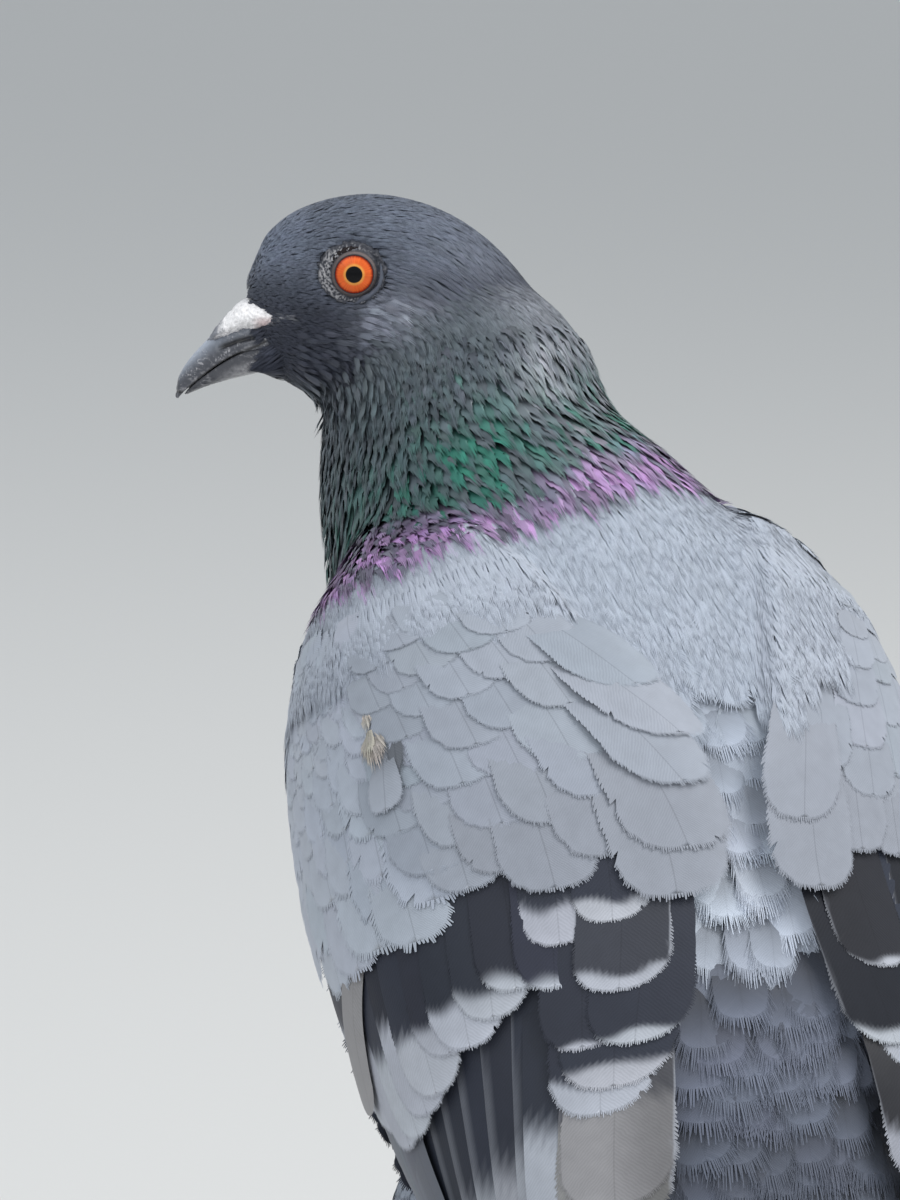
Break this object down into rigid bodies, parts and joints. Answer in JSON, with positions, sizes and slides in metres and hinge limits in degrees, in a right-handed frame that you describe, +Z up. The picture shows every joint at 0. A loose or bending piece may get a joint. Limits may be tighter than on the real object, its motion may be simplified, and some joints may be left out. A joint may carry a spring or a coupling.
{
  "type": "pigeon",
  "caption": "Blue-bar feral pigeon standing still and upright, head turned to its left, folded wings over a pale rump and a square dark tail.",
  "frame": {"origin": "on the floor, under the middle of the whole bird's box", "axes": "the bird's body heads along -Y, its left side is +X, +Z is up"},
  "size_m": [0.101, 0.2198, 0.259],
  "materials": {
    "head_feathers": "fine dark slate feathers",
    "neck_feathers": "dark hackles glossed green and pink",
    "body_feathers": "soft pale blue-grey feathers",
    "flight_feathers": "smooth dark slate vanes",
    "eye": "wet gloss",
    "cere": "chalky",
    "horn": "satin horn",
    "leg_skin": "scaled skin"
  },
  "bodies": {
    "root": {"head": "head_feathers", "neck": "neck_feathers", "trunk": "body_feathers", "tail": "flight_feathers", "wing_shield_left": "body_feathers", "wing_secondaries_left": "flight_feathers", "wing_primaries_left": "flight_feathers", "wing_shield_right": "body_feathers", "wing_secondaries_right": "flight_feathers", "wing_primaries_right": "flight_feathers", "thigh_left": "body_feathers", "thigh_right": "body_feathers", "eye_left": "eye", "eye_right": "eye", "cere": "cere", "bill_upper": "horn", "bill_lower": "horn", "shank_left": "leg_skin", "shank_right": "leg_skin", "toe_inner_left": "leg_skin", "toe_middle_left": "leg_skin", "toe_outer_left": "leg_skin", "toe_hind_left": "leg_skin", "toe_inner_right": "leg_skin", "toe_middle_right": "leg_skin", "toe_outer_right": "leg_skin", "toe_hind_right": "leg_skin", "claw_inner_left": "horn", "claw_middle_left": "horn", "claw_outer_left": "horn", "claw_hind_left": "horn", "claw_inner_right": "horn", "claw_middle_right": "horn", "claw_outer_right": "horn", "claw_hind_right": "horn"}
  },
  "joints": []
}
